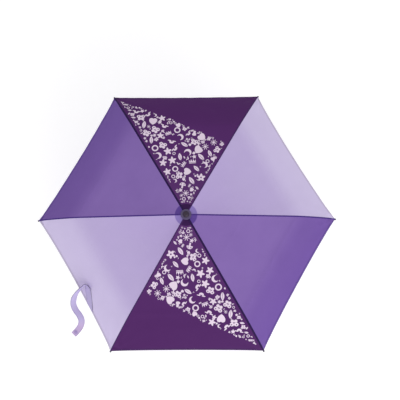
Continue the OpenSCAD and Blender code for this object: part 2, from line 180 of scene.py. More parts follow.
class Mat:
    """A material with a Principled shader and short ways to add pattern nodes."""

    def __init__(self, name, rough=0.5, metallic=0.0, **shader):
        self.material = bpy.data.materials.new(name)
        self.material.use_nodes = True
        self.tree = self.material.node_tree
        self.tree.nodes.clear()
        out = self.tree.nodes.new("ShaderNodeOutputMaterial")
        self.shader = self.tree.nodes.new("ShaderNodeBsdfPrincipled")
        self.tree.links.new(self.shader.outputs[0], out.inputs["Surface"])
        self.shader.inputs["Roughness"].default_value = rough
        self.shader.inputs["Metallic"].default_value = metallic
        for key, v in shader.items():
            self.shader.inputs[key.replace("_", " ").title()].default_value = v
        self.height = None

    def coords(self, uv=None):
        if uv:
            n = self.tree.nodes.new("ShaderNodeUVMap")
            n.uv_map = uv
            return n.outputs[0]
        return self.tree.nodes.new("ShaderNodeTexCoord").outputs["Object"]

    def parts(self, vector):
        n = self.tree.nodes.new("ShaderNodeSeparateXYZ")
        put(self.tree, n.inputs[0], vector)
        return [Val(self.tree, s) for s in n.outputs]

    def vector(self, x, y, z=0.0):
        n = self.tree.nodes.new("ShaderNodeCombineXYZ")
        for k, v in enumerate((x, y, z)):
            put(self.tree, n.inputs[k], v)
        return n.outputs[0]

    def noise(self, vector, scale, detail=2.0, rough=0.5):
        n = self.tree.nodes.new("ShaderNodeTexNoise")
        put(self.tree, n.inputs["Vector"], vector)
        n.inputs["Scale"].default_value = scale
        n.inputs["Detail"].default_value = detail
        n.inputs["Roughness"].default_value = rough
        return Val(self.tree, n.outputs["Fac"])

    def voronoi(self, vector, cell, jitter):
        """Where the nearest cell's centre is, and three random numbers of that cell."""
        n = self.tree.nodes.new("ShaderNodeTexVoronoi")
        n.voronoi_dimensions = "2D"
        put(self.tree, n.inputs["Vector"], vector)
        n.inputs["Scale"].default_value = 1 / cell
        n.inputs["Randomness"].default_value = jitter
        return n.outputs["Position"], n.outputs["Color"]

    def mix(self, share, a, b):
        n = self.tree.nodes.new("ShaderNodeMix")
        n.data_type = "RGBA"
        put(self.tree, n.inputs[0], share)
        put(self.tree, n.inputs[6], a)
        put(self.tree, n.inputs[7], b)
        return n.outputs[2]

    def colour(self, socket):
        put(self.tree, self.shader.inputs["Base Color"], socket)
        return self

    def roughness(self, value):
        put(self.tree, self.shader.inputs["Roughness"], value)
        return self

    def bump(self, height, distance, strength=1.0):
        n = self.tree.nodes.new("ShaderNodeBump")
        put(self.tree, n.inputs["Height"], height)
        n.inputs["Distance"].default_value = distance
        n.inputs["Strength"].default_value = strength
        if self.height is not None:
            self.tree.links.new(self.height, n.inputs["Normal"])
        self.height = n.outputs[0]
        self.tree.links.new(self.height, self.shader.inputs["Normal"])
        return self


# ---------------------------------------------------------------- cloth materials

def weave(m, uv, pitch=0.0004):
    """Plain weave: threads over and under, as a height from 0 to 1."""
    u, v, _ = m.parts(uv)
    across = (u * (2 * math.pi / pitch)).op("SINE")
    along = (v * (2 * math.pi / pitch)).op("SINE")
    return (across * along) * 0.5 + 0.5


def motif(x, y, pick, spin):
    """1 inside a small silhouette. x and y run from -1 to 1, pick and spin from 0 to 1."""
    lean = spin * 2.2 - 1.1
    c, s = lean.op("COSINE"), lean.op("SINE")
    x, y = x * c - y * s, x * s + y * c
    a, b = x.abs(), y.abs()
    r = (x.sq() + y.sq()).op("SQRT")
    turn = y.op("ARCTAN2", x) / (2 * math.pi)

    def oval(cx, cy, rx, ry):
        """1 inside a pair of ovals, one on each side of the middle."""
        return (((a - cx) / rx).sq() + ((y - cy) / ry).sq()) < 1.0

    point = ((turn * 5.0).op("FRACT") * 2.0 - 1.0).abs()
    star = r < (point * 0.56 + 0.36)
    petal = (turn * (2 * math.pi * 5)).op("COSINE")
    flower = (r < (petal * 0.2 + 0.68)) & (r > 0.17)
    heart_x2, heart_y = (a * 1.25).sq(), y * 1.2 + 0.12
    bulge = heart_x2 + heart_y.sq() - 1.0
    heart = (bulge * bulge * bulge) < (heart_x2 * heart_y * heart_y * heart_y)
    wings = oval(0.48, 0.3, 0.44, 0.4) | oval(0.36, -0.42, 0.33, 0.33)
    spots = oval(0.52, 0.36, 0.13, 0.13)
    butterfly = (wings & (a > 0.06) & (1.0 - spots)) | ((a < 0.05) & (b < 0.6))
    leaf = (a < (1.0 - y.sq()) * 0.42) & ((a > 0.035) | (y > 0.55))
    ring = (r < 0.72) & (r > 0.44)
    zigzag = (((x + 0.8) * 1.875).op("FRACT") * 2.0 - 1.0).abs()
    slit = (y > -0.34) & (y < -0.24)
    crown = (a < 0.78) & (y > -0.5) & (y < zigzag * 0.62 - 0.08) & (1.0 - slit)
    bite = ((x - 0.36).sq() + (y - 0.1).sq()).op("SQRT")
    moon = (r < 0.8) & (bite > 0.62)
    cap = (r < 0.78) & (y > -0.02) & (1.0 - oval(0.34, 0.34, 0.13, 0.13))
    toadstool = cap | ((a < 0.2) & (y < 0.0) & (y > -0.78))
    body = oval(0.0, -0.1, 0.5, 0.34) & (1.0 - oval(0.0, 0.16, 0.3, 0.16))
    bird = body | oval(0.52, 0.2, 0.4, 0.12)
    arms = (a < 0.07) | (b < 0.07) | ((a - b).abs() < 0.09)
    snowflake = (arms & (r < 0.82)) | (r < 0.24)
    shapes = [star, butterfly, heart, flower, leaf, ring,
              crown, moon, toadstool, bird, snowflake, butterfly]
    step = 1.0 / len(shapes)
    total = None
    for k, shape in enumerate(shapes):
        part = ((pick - (k + 0.5) * step).abs() < step / 2) & shape
        total = part if total is None else total | part
    return total


# The print of the dark panels. Its grids of motifs lie askew, each with its own cells.
PRINT_TURN = 0.42       # how far the grids are turned, in radians
PRINT_CELLS = (
    # width of a cell, how freely its motif is placed, radius of the motif
    (0.0300, 0.24, 0.0148),
    (0.0170, 0.32, 0.0084),
    (0.0110, 0.36, 0.0054),
    (0.0072, 0.40, 0.0035),
)
FIRST_SHIFT = 0.004     # where the first grid starts
PRINT_SHIFT = (0.013, 0.007)    # from one grid to the next
MOTIF_ROOM = (0.76, 0.70)       # how near two motifs may stand, in radii of the larger and the smaller
PRINT_LINE, PRINT_SLOPE = 0.303, 0.50       # the slanted line where the print ends
PRINT_START = 0.034     # how far from the hub it starts
PRINT_MARGIN = 0.0065   # plain cloth beside the panel's seams
PANEL_SLOPE = 0.565     # half the panel's width, for each metre from the hub


def motif_radius(size, radius):
    """A motif's own radius: size is one of its cell's random numbers, from 0 to 1."""
    return (size * 0.2 + 0.82) * radius


def printed(u, v, r):
    """1 where a motif of radius r, with its middle at u and v, is inside the print."""
    before_line = (v - u * PRINT_SLOPE + r * 0.8) < PRINT_LINE
    off_seams = (v * PANEL_SLOPE - u.abs() - r * 0.95) > PRINT_MARGIN
    return before_line & off_seams & ((v - r) > PRINT_START)


def print_pattern(m, uv):
    """The pale silhouettes printed on a dark panel, up to a slanted line."""
    u, v, _ = m.parts(uv)
    c, s = math.cos(PRINT_TURN), math.sin(PRINT_TURN)
    askew = m.vector(u * c - v * s, u * s + v * c)
    total = None
    larger = []
    for k, (cell, jitter, radius) in enumerate(PRINT_CELLS):
        shift_x, shift_y = PRINT_SHIFT[0] * k + FIRST_SHIFT, PRINT_SHIFT[1] * k
        grid = m.tree.nodes.new("ShaderNodeVectorMath")
        put(m.tree, grid.inputs[0], askew)
        put(m.tree, grid.inputs[1], m.vector(shift_x, shift_y))
        place, random = m.voronoi(grid.outputs[0], cell, jitter)
        place_x, place_y, _ = m.parts(place)
        x, y, _ = m.parts(grid.outputs[0])
        pick, spin, size = m.parts(random)
        # the motif's middle, back on the panel
        mid_x, mid_y = place_x - shift_x, place_y - shift_y
        r = motif_radius(size, radius)
        inside = printed(mid_x * c + mid_y * s, mid_y * c - mid_x * s, r)
        for cell2, jitter2, radius2, shift2_x, shift2_y in larger:
            place2, random2 = m.voronoi(m.vector(mid_x + shift2_x, mid_y + shift2_y), cell2, jitter2)
            x2, y2, _ = m.parts(place2)
            x2, y2 = x2 - shift2_x, y2 - shift2_y
            _, _, size2 = m.parts(random2)
            r2 = motif_radius(size2, radius2)
            far = ((x2 - mid_x).sq() + (y2 - mid_y).sq()).op("SQRT")
            apart = far > (r2 * MOTIF_ROOM[0] + r * MOTIF_ROOM[1])
            # a larger motif that isn't printed takes no room
            inside = inside & (apart | (1.0 - printed(x2 * c + y2 * s, y2 * c - x2 * s, r2)))
        shape = motif((x - place_x) / r, (y - place_y) / r, pick, spin) & inside
        total = shape if total is None else total | shape
        larger.append((cell, jitter, radius, shift_x, shift_y))
    return total


CLOTH_COLOURS_AND_SHADE = {
    # cloth: (colour near the hub, half way, near the hem), the cloth's own colour with painted light and
    # shade that change from the hub to the hem
    "light": (srgb(176, 157, 208), srgb(184, 168, 213), srgb(207, 195, 230)),
    "mid": (srgb(133, 105, 174), srgb(131, 103, 173), srgb(110, 80, 157)),
    "dark": (srgb(88, 48, 107), srgb(83, 41, 102), srgb(76, 35, 94)),
}
INK = srgb(228, 211, 229)
# where the doubled cloth under the hub shows through
DISC_COLOURS = {"light": srgb(124, 104, 178), "mid": srgb(76, 50, 136), "dark": srgb(46, 18, 66)}
DISC_EDGE = (0.0358, 0.0332)
CLOTH_SPECULAR = {"light": 0.18, "mid": 0.18, "dark": 0.08}


def cloth(kind, inside=False):
    m = Mat(f"cloth_{kind}_{'inside' if inside else 'outside'}", rough=0.6,
            sheen_weight=0.02, sheen_roughness=0.4)
    m.shader.inputs["Specular IOR Level"].default_value = CLOTH_SPECULAR[kind]
    uv = m.coords("cloth")
    u, v, _ = m.parts(uv)
    near, half, far = CLOTH_COLOURS_AND_SHADE[kind]
    # painted light and shade: the colour changes from the hub outwards
    base = m.mix(v.ramp(0.05, 0.27), near, half)
    # painted light and shade: most of the change lies at the bend over the outer rib joints
    base = m.mix(v.ramp(0.265, 0.345) * 0.8 + v.ramp(0.34, 0.41) * 0.2, base, far)
    from_hub = (u.sq() + v.sq()).op("SQRT")
    base = m.mix(from_hub.ramp(*DISC_EDGE) * 0.86, base, DISC_COLOURS[kind])
    cloud = m.noise(uv, 9.0, 3.0)
    base = m.mix((cloud - 0.5) * 0.5 + 0.06, base, shade(far, 0.8))
    warp = m.noise(m.vector(u * 60.0, v * 2600.0), 1.0, 2.0)
    weft = m.noise(m.vector(u * 2600.0, v * 60.0), 1.0, 2.0)
    threads = warp * 0.5 + weft * 0.5
    base = m.mix((threads - 0.5).abs() * 0.35, base, shade(far, 1.25))
    if kind == "dark":
        ink = print_pattern(m, uv)
        worn = m.noise(uv, 900.0, 2.0).ramp(0.2, 0.45) * 0.12 + 0.86
        base = m.mix(ink * (0.07 if inside else worn), base, INK)
        if not inside:
            m.roughness(ink * -0.14 + 0.62)
    if inside:
        base = m.mix(0.16, base, srgb(60, 50, 80))
    m.colour(base)
    m.bump(m.noise(uv, 38.0, 3.0), 0.0011, 0.5)
    m.bump(weave(m, uv), 0.00006, 0.6)
    return m.material


def tape(name, colour, stitch, pitch=0.0032, rows=(-0.0015, 0.0015), edge=None, end=None):
    """Folded cloth edge or strap with rows of stitches. Its uv runs across, then along.

    edge is (a distance from the middle, the colour past it), end is (a length, the colour past it)."""
    m = Mat(name, rough=0.7, sheen_weight=0.02, sheen_roughness=0.5)
    m.shader.inputs["Specular IOR Level"].default_value = 0.15
    uv = m.coords("cloth")
    u, v, _ = m.parts(uv)
    dash = (v / pitch).op("FRACT")
    on = (dash > 0.18) & (dash < 0.86)
    line = None
    for row in rows:
        near = (u - row).abs() < 0.00026
        line = near if line is None else line | near
    thread = line & on
    base = m.mix(m.noise(uv, 60.0, 3.0) * 0.35, colour, shade(colour, 0.72))
    if end:
        base = m.mix(v.ramp(end[0] - 0.02, end[0] + 0.02), base, end[1])
    if edge:
        base = m.mix(u.abs().ramp(edge[0], edge[0] + 0.0006), base, edge[1])
    m.colour(m.mix(thread, base, stitch))
    m.bump(m.noise(uv, 220.0, 2.0), 0.0004, 0.5)
    m.bump(weave(m, uv, 0.0005), 0.00008, 0.6)
    m.bump(thread - line * 0.6, 0.00022)
    return m.material


OUTSIDE = {k: cloth(k) for k in CLOTH_COLOURS_AND_SHADE}
INSIDE = {k: cloth(k, True) for k in CLOTH_COLOURS_AND_SHADE}
# ribs 1 and 4, 2 and 5, 3 and 6; the seams' dark colour is partly their folded cloth and partly painted
# shadow along the seam
SEAM_AND_SHADOW_COLOURS = ((66, 42, 124), (62, 32, 90), (36, 12, 68))
SEAMS = [tape(f"seam_cloth_and_shadow_{k}", srgb(*edge), srgb(*(c + 22 for c in edge)), rows=(-0.0011, 0.0011))
         for k, edge in enumerate(SEAM_AND_SHADOW_COLOURS)]
# the hems are a little darker than the cloth: partly the doubled cloth, partly painted shade of the fold
HEMS = {"light": tape("hem_light", srgb(196, 186, 212), srgb(168, 156, 192), rows=(0.0016,)),
        "mid": tape("hem_mid", srgb(102, 76, 150), srgb(82, 60, 128), rows=(0.0016,)),
        "dark": tape("hem_dark", srgb(76, 40, 96), srgb(60, 30, 80), rows=(0.0016,))}
STRAP = tape("strap_cloth", srgb(186, 174, 216), srgb(150, 136, 184), rows=(-0.0078, 0.0078), pitch=0.003,
             edge=(0.0091, srgb(162, 152, 186)), end=(0.26, srgb(194, 172, 212)))
ROSETTE = tape("rosette_cloth", srgb(112, 92, 158), srgb(84, 66, 126), rows=(0.0,))


# ---------------------------------------------------------------- hard materials

def plastic(name, colour, rough, grain, coat=0.0):
    m = Mat(name, rough=rough, coat_weight=coat, coat_roughness=0.25)
    place = m.coords()
    paler = tuple(c * 1.7 + 0.004 for c in colour[:3]) + (1.0,)
    m.colour(m.mix(m.noise(place, 120.0, 4.0) * 0.5, colour, paler))
    m.roughness(m.noise(place, 700.0, 3.0) * 0.22 + rough - 0.1)
    m.bump(m.noise(place, grain, 2.0), 0.00012, 0.7)
    return m.material


def steel(name, colour, rough, across, along):
    """Metal with fine marks, this many to a metre across the shaft and along it."""
    m = Mat(name, rough=rough, metallic=1.0)
    x, y, z = m.parts(m.coords())
    drawn = m.noise(m.vector(x * across, y * across, z * along), 1.0, 3.0)
    m.colour(m.mix(m.noise(m.coords(), 90.0, 3.0) * 0.6, colour, shade(colour, 0.74)))
    m.roughness(drawn * 0.25 + rough - 0.1)
    m.bump(drawn, 0.00004, 0.6)
    return m


def pitted(m, strength):
    """The fine pits of a plated face."""
    m.bump(m.noise(m.coords(), 1500.0, 2.0), 0.00003, strength)
    return m


def washer_cloth():
    """Coarse cloth with a pressed ring."""
    m = Mat("washer_cloth", rough=0.6, sheen_weight=0.1, sheen_roughness=0.5)
    place = m.coords()
    x, y, _ = m.parts(place)
    radius = (x.sq() + y.sq()).op("SQRT")
    m.colour(m.mix(m.noise(place, 400.0, 3.0) * 0.5, srgb(84, 70, 108), srgb(62, 50, 88)))
    m.bump((radius - 0.0145).abs().ramp(0.0007, 0.0), 0.0003)
    m.bump(m.noise(place, 1800.0, 2.0), 0.00012, 0.8)
    return m.material


GRIP = plastic("soft_grip", srgb(48, 45, 54), 0.55, 2600.0)
MOULDED = plastic("moulded_charcoal", srgb(44, 42, 50), 0.42, 900.0, 0.15)
CAP = plastic("cap_charcoal", srgb(34, 17, 42), 0.5, 900.0)
TIPS = plastic("tip_plastic", srgb(50, 48, 58), 0.38, 900.0, 0.2)
BUTTON = plastic("button_lilac", srgb(150, 138, 178), 0.32, 500.0, 0.4)
STUD = plastic("stud_plastic", srgb(152, 130, 184), 0.3, 500.0, 0.4)
RIB_STEEL = pitted(steel("plated_ribs", srgb(196, 198, 204), 0.34, 500.0, 500.0), 0.5).material
WIRE_STEEL = steel("drawn_wire", srgb(186, 188, 194), 0.3, 900.0, 900.0).material
TUBE_STEEL = steel("bright_tube", srgb(206, 208, 214), 0.2, 1400.0, 20.0).material
SPRING = steel("spring_steel", srgb(170, 172, 180), 0.3, 700.0, 700.0).material
WASHER = washer_cloth()

FINISH = {"handle_grip": GRIP, "handle_end_cap": MOULDED, "handle_collar": TUBE_STEEL,
          "lower_tube": TUBE_STEEL, "middle_tube": TUBE_STEEL, "top_tube": TUBE_STEEL,
          "crown": MOULDED, "crown_wire": WIRE_STEEL, "ferrule_cap": CAP, "cap_washer": WASHER,
          "runner": MOULDED, "runner_wire": WIRE_STEEL, "runner_button": BUTTON, "button_spring": SPRING}
for i in range(1, RIBS + 1):
    for kind, finish in (("top_rib", RIB_STEEL), ("stretcher", RIB_STEEL), ("middle_rib", RIB_STEEL),
                         ("outer_rib", WIRE_STEEL), ("link_rod", RIB_STEEL), ("rib_tip", TIPS)):
        FINISH[f"{kind}_{i}"] = finish
for name, finish in FINISH.items():
    for s in nodes[name].material_slots:
        s.material = finish


# ---------------------------------------------------------------- the canopy's surface

def cad_profile():
    """The cloth's top above rib 1, as the CAD panel has it: distance from the shaft, height."""
    rows = {}
    seam_y = min(v.co.y for v in nodes["panel_1"].data.vertices)
    for v in nodes["panel_1"].data.vertices:
        if v.co.y < seam_y + 2e-5:
            rows.setdefault(round(v.co.x, 4), []).append(v.co.z)
    return [(x - seam_y * ROOT_3, max(z)) for x, z in sorted(rows.items())]


PROFILE = cad_profile()
PROFILE_X, PROFILE_Z = np.array([p[0] for p in PROFILE]), np.array([p[1] for p in PROFILE])


def slopes(x, y):
    """Slopes of a smooth curve at the points it goes through, each from the two spans beside it."""
    h, d = np.diff(x), np.diff(y) / np.diff(x)
    s = np.zeros(len(x))
    s[0], s[-1] = d[0], d[-1]
    for k in range(1, len(x) - 1):
        s[k] = (d[k - 1] * h[k] + d[k] * h[k - 1]) / (h[k] + h[k - 1])
    return s


PROFILE_SLOPE = slopes(PROFILE_X, PROFILE_Z)


def profile(x):
    """Height of the cloth's top over a rib, at a distance from the shaft."""
    x = min(max(x, PROFILE_X[0]), PROFILE_X[-1])
    k = min(max(int(np.searchsorted(PROFILE_X, x)) - 1, 0), len(PROFILE_X) - 2)
    h = PROFILE_X[k + 1] - PROFILE_X[k]
    t = (x - PROFILE_X[k]) / h
    return ((2 * t ** 3 - 3 * t * t + 1) * PROFILE_Z[k] + (t ** 3 - 2 * t * t + t) * h * PROFILE_SLOPE[k]
            + (3 * t * t - 2 * t ** 3) * PROFILE_Z[k + 1] + (t ** 3 - t * t) * h * PROFILE_SLOPE[k + 1])


TIP_X = float(PROFILE_X[-1])
ARC_X = np.linspace(0, TIP_X, 500)
ARC_Z = np.array([profile(x) for x in ARC_X])
ARC_S = np.concatenate([[0], np.cumsum(np.hypot(np.diff(ARC_X), np.diff(ARC_Z)))])


def arc(x):
    """Length of the cloth along a rib, from the shaft to that distance from it."""
    return float(np.interp(x, ARC_X, ARC_S))


def bell(x, centre, width):
    return math.exp(-((x - centre) / width) ** 2)


def cloth_top(x, y, turn):
    """Height of the canopy's top face in the frame of a rib at angle turn: x along the rib, y across."""
    side = abs(y)
    row = x + side / ROOT_3
    share = 2 * side / (ROOT_3 * row) if row > 1e-6 else 0.0
    # between the ribs the cloth is held by its hem and its seams, and lies a little low
    sag = 0.0046 * math.sin(math.pi * min(row / TIP_X, 1.0)) ** 0.8 + 0.0008
    z = profile(row) - sag * 4 * share * (1 - share)
    # the seams are sewn tighter than the cloth: short puckers beside each rib
    beside = math.exp(-side / 0.007) * (1 - math.exp(-side / 0.0022))
    z += 0.00042 * beside * math.sin(2 * math.pi * row / 0.0135 + 7 * turn + 2 * math.sin(row * 60))
    # pulls that run from each tip into the panel
    far = math.hypot(TIP_X - x, side)
    lean = math.atan2(side, max(TIP_X - x, 1e-4))
    z += 0.0018 * math.exp(-far / 0.05) * (1 - math.exp(-side / 0.006)) * math.cos(lean * 16 + turn)
    # the fold line over the outer rib joints, and a fainter one over the inner joints
    z += 0.0009 * bell(row, OUTER_X + 0.003, 0.006) * min(1.0, side / 0.02)
    z += 0.0004 * bell(row, INNER_X, 0.005) * min(1.0, side / 0.02)
    # small unevenness, away from the seams
    c, s = math.cos(turn), math.sin(turn)
    world_x, world_y = x * c - y * s, x * s + y * c
    loose = min(1.0, side / 0.03)
    z += 0.0016 * loose * noise.noise(Vector((world_x * 11, world_y * 11, 3.1)))
    z += 0.0005 * loose * noise.noise(Vector((world_x * 34, world_y * 34, 8.7)))
    return z


def cloth_normal(x, y, turn, side):
    """The canopy's normal there, from heights on its own side of the rib."""
    e = 0.0006
    y0, y1 = (y, y + e * side) if abs(y) < e else (y - e, y + e)
    dx = (cloth_top(x + e, y, turn) - cloth_top(x - e, y, turn)) / (2 * e)
    dy = (cloth_top(x, y1, turn) - cloth_top(x, y0, turn)) / (y1 - y0)
    return Vector((-dx, -dy, 1)).normalized()


def hem_row(share, panel):
    """How far out the panel's hem lies, on a line square to its middle; share runs from rib to rib."""
    return TIP_X - CORNER - HEM_INSET[panel - 1] * (4 * share * (1 - share)) ** HEM_FULLNESS


def hem_x(tangent, panel):
    """How far along the rib the panel's hem lies, on the ray at that tangent from the rib."""
    stretch = 1 + tangent / ROOT_3
    return hem_row(2 * tangent / (ROOT_3 * stretch), panel) / stretch


def turn_of(i):
    return math.radians(60 * (i - 1))


def turned(i):
    """The turn from rib 1 to rib i, as a matrix."""
    return Matrix.Rotation(turn_of(i), 3, "Z")


def panel_of(i, side):
    """The panel on that side of rib i: y above 0 is the panel of the same number."""
    return i if side > 0 else (i - 2) % RIBS + 1


def panel_uv(x, y, side):
    """Metres on the flat panel: across from its middle line, and out from the hub."""
    row = x + abs(y) / ROOT_3
    share = 2 * abs(y) / (ROOT_3 * row) if row > 1e-6 else 0.0
    u = row * (share - 0.5) if side > 0 else row * (0.5 - share)
    return u, arc(row) * math.cos(math.radians(30))


def new_piece(name, points, faces, uvs, materials, face_materials=None, corner_normals=None, turn=0.0):
    """A mesh object from points in a rib's frame, turned to the rib."""
    c, s = math.cos(turn), math.sin(turn)
    mesh = bpy.data.meshes.new(name)
    mesh.from_pydata([(x * c - y * s, x * s + y * c, z) for x, y, z in points], [], faces)
    layer = mesh.uv_layers.new(name="cloth")
    flat = []
    for f in faces:
        for v in f:
            flat.extend(uvs[v])
    layer.data.foreach_set("uv", flat)
    for mat in materials:
        mesh.materials.append(mat)
    if face_materials is not None:
        mesh.polygons.foreach_set("material_index", face_materials)
    mesh.polygons.foreach_set("use_smooth", [True] * len(faces))
    if corner_normals is not None:
        in_world = [(nx * c - ny * s, nx * s + ny * c, nz) for nx, ny, nz in corner_normals]
        mesh.normals_split_custom_set(in_world)
    mesh.update()
    o = bpy.data.objects.new(name, mesh)
    bpy.context.scene.collection.objects.link(o)
    return o


def slab(rows, columns, top, normals, thickness, flip):
    """A closed sheet from a grid of top points: points, faces, face kinds and corner normals."""
    under = [Vector(p) - n * thickness for p, n in zip(top, normals)]
    n = len(top)
    points = [tuple(p) for p in top] + [tuple(p) for p in under]
    faces, kinds, corners = [], [], []

    def face(ids, kind, ns):
        if flip:
            ids, ns = ids[::-1], ns[::-1]
        faces.append(ids)
        kinds.append(kind)
        corners.extend(ns)

    for r in range(rows - 1):
        for c in range(columns - 1):
            a = r * columns + c
            ids = [a, a + columns, a + columns + 1, a + 1]
            face(ids, 0, [normals[k] for k in ids])
            face([k + n for k in ids[::-1]], 1, [-normals[k] for k in ids[::-1]])
    rim = (list(range(columns)) + [r * columns + columns - 1 for r in range(1, rows)]
           + [(rows - 1) * columns + c for c in range(columns - 2, -1, -1)]
           + [r * columns for r in range(rows - 2, 0, -1)])
    for k, a in enumerate(rim):
        b = rim[(k + 1) % len(rim)]
        edge = Vector(top[b]) - Vector(top[a])
        if edge.length < 1e-7:
            continue
        out = edge.cross(normals[a])
        out = (-out if flip else out).normalized()
        face([a, b, b + n, a + n], 1, [out] * 4)
    return points, faces, kinds, corners


def grid_area(top, rows, columns):
    """Area of the sheet's top."""
    area = 0.0
    for r in range(rows - 1):
        for c in range(columns - 1):
            a, b, d, e = (Vector(top[r * columns + c]), Vector(top[(r + 1) * columns + c]),
                          Vector(top[(r + 1) * columns + c + 1]), Vector(top[r * columns + c + 1]))
            area += ((b - a).cross(e - a).length + (b - d).cross(e - d).length) / 2
    return area


SPANS = {"top": (0.0, INNER_X), "mid": (INNER_X, OUTER_X), "end": (OUTER_X, TIP_X)}     # along the rib
SECTIONS = {
    # section: (body under it, rows along the rib, share kept when folded, gap left for the metal rib)
    "top": ("rib", 34, 0.115, 0.0032),
    "mid": ("mid", 34, 0.075, 0.0036),
    "end": ("end", 32, 0.085, 0.0020),
}
COLUMNS = 15            # across half a panel
HUB_HOLE = 0.0065       # from the shaft's middle to where the cloth starts


def fold_axis(section, side):
    """Along which a half panel gathers beside its rib: across the rib, and down with the cloth."""
    start, end = max(SPANS[section][0], 0.02), SPANS[section][1]
    across = 0.12 if section == "end" else end * TAN_30 * 0.6
    slope = math.atan2(profile(end) - profile(start), end - start)
    middle = (start + end) / 2
    drop = cloth_top(middle, across, 0.0) - cloth_top(middle, 0.0, 0.0)
    # measured square to the rib
    drop *= math.cos(slope)
    return Vector((-math.sin(slope) * drop, side * across, math.cos(slope) * drop)).normalized()


def grid_x(section, share, tangent, panel):
    """How far along the rib a point lies, that share of the way through a section."""
    if section == "top":
        return HUB_HOLE + (INNER_X - HUB_HOLE) * share
    if section == "mid":
        return INNER_X + (OUTER_X - INNER_X) * share
    return OUTER_X + (hem_x(tangent, panel) - OUTER_X) * share


canopy = {}     # (rib, side, section): object, area, top points, and the axis and anchor of its fold
for i in range(1, RIBS + 1):
    turn, spin = turn_of(i), turned(i)
    for side in (1, -1):
        panel = panel_of(i, side)
        kind = PANEL_CLOTHS[panel - 1]
        for section, (body, rows, keep, gap) in SECTIONS.items():
            top, normals, uvs = [], [], []
            for r in range(rows):
                for c in range(COLUMNS):
                    # the columns stand closer together beside the rib
                    tangent = TAN_30 * (c / (COLUMNS - 1)) ** 1.35
                    x = grid_x(section, r / (rows - 1), tangent, panel)
                    y = side * x * tangent
                    top.append(Vector((x, y, cloth_top(x, y, turn))))
                    normals.append(cloth_normal(x, y, turn, side))
                    uvs.append(panel_uv(x, y, side))
            points, faces, kinds, corners = slab(rows, COLUMNS, top, normals, CLOTH, side < 0)
            name = f"cloth_{panel}_{section}_{'start' if side > 0 else 'end'}"
            o = new_piece(name, points, faces, uvs * 2, [OUTSIDE[kind], INSIDE[kind]], kinds, corners, turn)
            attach(o, f"{body}_{i}")
            middle = sum(SPANS[section]) / 2
            axis = spin @ fold_axis(section, side)
            anchor = spin @ Vector((middle, side * gap, profile(middle)))
            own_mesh(o)
            canopy[(i, side, section)] = (o, grid_area(top, rows, COLUMNS), top, axis, anchor)


# ---------------------------------------------------------------- seams, hems and patches

SEAM_HALF = (0.0021, 0.0018, 0.0030)     # half widths, in the order of SEAMS
SEAM_RISE = 0.0007      # of its middle over the cloth
SEAM_STATIONS = (-1.0, -0.55, 0.0, 0.55, 1.0)      # across a seam, in half widths
SEAM_START = 0.0150     # from the shaft's middle
RIB_FACE = 0.0021       # from the middle of a rib to just over its face
HINGES = [Vector((joints[name]["pos_m"][0], 0, joints[name]["pos_m"][2]))
          for name in ("canopy_fold", "middle_rib_1_hinge", "outer_rib_1_hinge")]
RIB_LINES = {"top": HINGES[:2], "mid": HINGES[1:]}


def seam(name, i, xs, half, material, body):
    """A raised band of folded cloth along rib i."""
    turn = turn_of(i)
    top, normals, uvs = [], [], []
    for x in xs:
        for k in SEAM_STATIONS:
            y = k * half
            rise = SEAM_RISE * (1 - abs(k) ** 3) + 0.00012
            top.append(Vector((x, y, cloth_top(x, y, turn) + rise)))
            normals.append(Vector((cloth_normal(x, 0.0, turn, 1).x, k * 0.35, 1)).normalized())
            uvs.append((y, x))
    points, faces, _, corners = slab(len(xs), len(SEAM_STATIONS), top, normals, SEAM_RISE + 0.0002, False)
    o = new_piece(name, points, faces, uvs * 2, [material], None, corners, turn)
    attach(o, body)
    return o


sewn_on = {}    # (rib, side, section): seam and hem
for i in range(1, RIBS + 1):
    kind = (i - 1) % 3
    for section, (start, end) in SPANS.items():
        start = max(start, SEAM_START)
        end = min(end, TIP_X - CORNER - 0.001)
        count = int((end - start) / 0.005)
        xs = [start + (end - start) * k / count for k in range(count + 1)]
        body = f"{SECTIONS[section][0]}_{i}"
        o = seam(f"seam_{i}_{section}", i, xs, SEAM_HALF[kind], SEAMS[kind], body)
        if section != "end":
            # a point just over the face of its own rib, half way between the rib's joints
            near, far = RIB_LINES[section]
            along = (far - near).normalized()
            face = Vector((-along.z, 0, along.x))
            anchor = (near + far) / 2 + face * RIB_FACE
            tuple(turned(i) @ face)
            tuple(turned(i) @ anchor)
            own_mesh(o)
        sewn_on[(i, 1, section)] = [o]

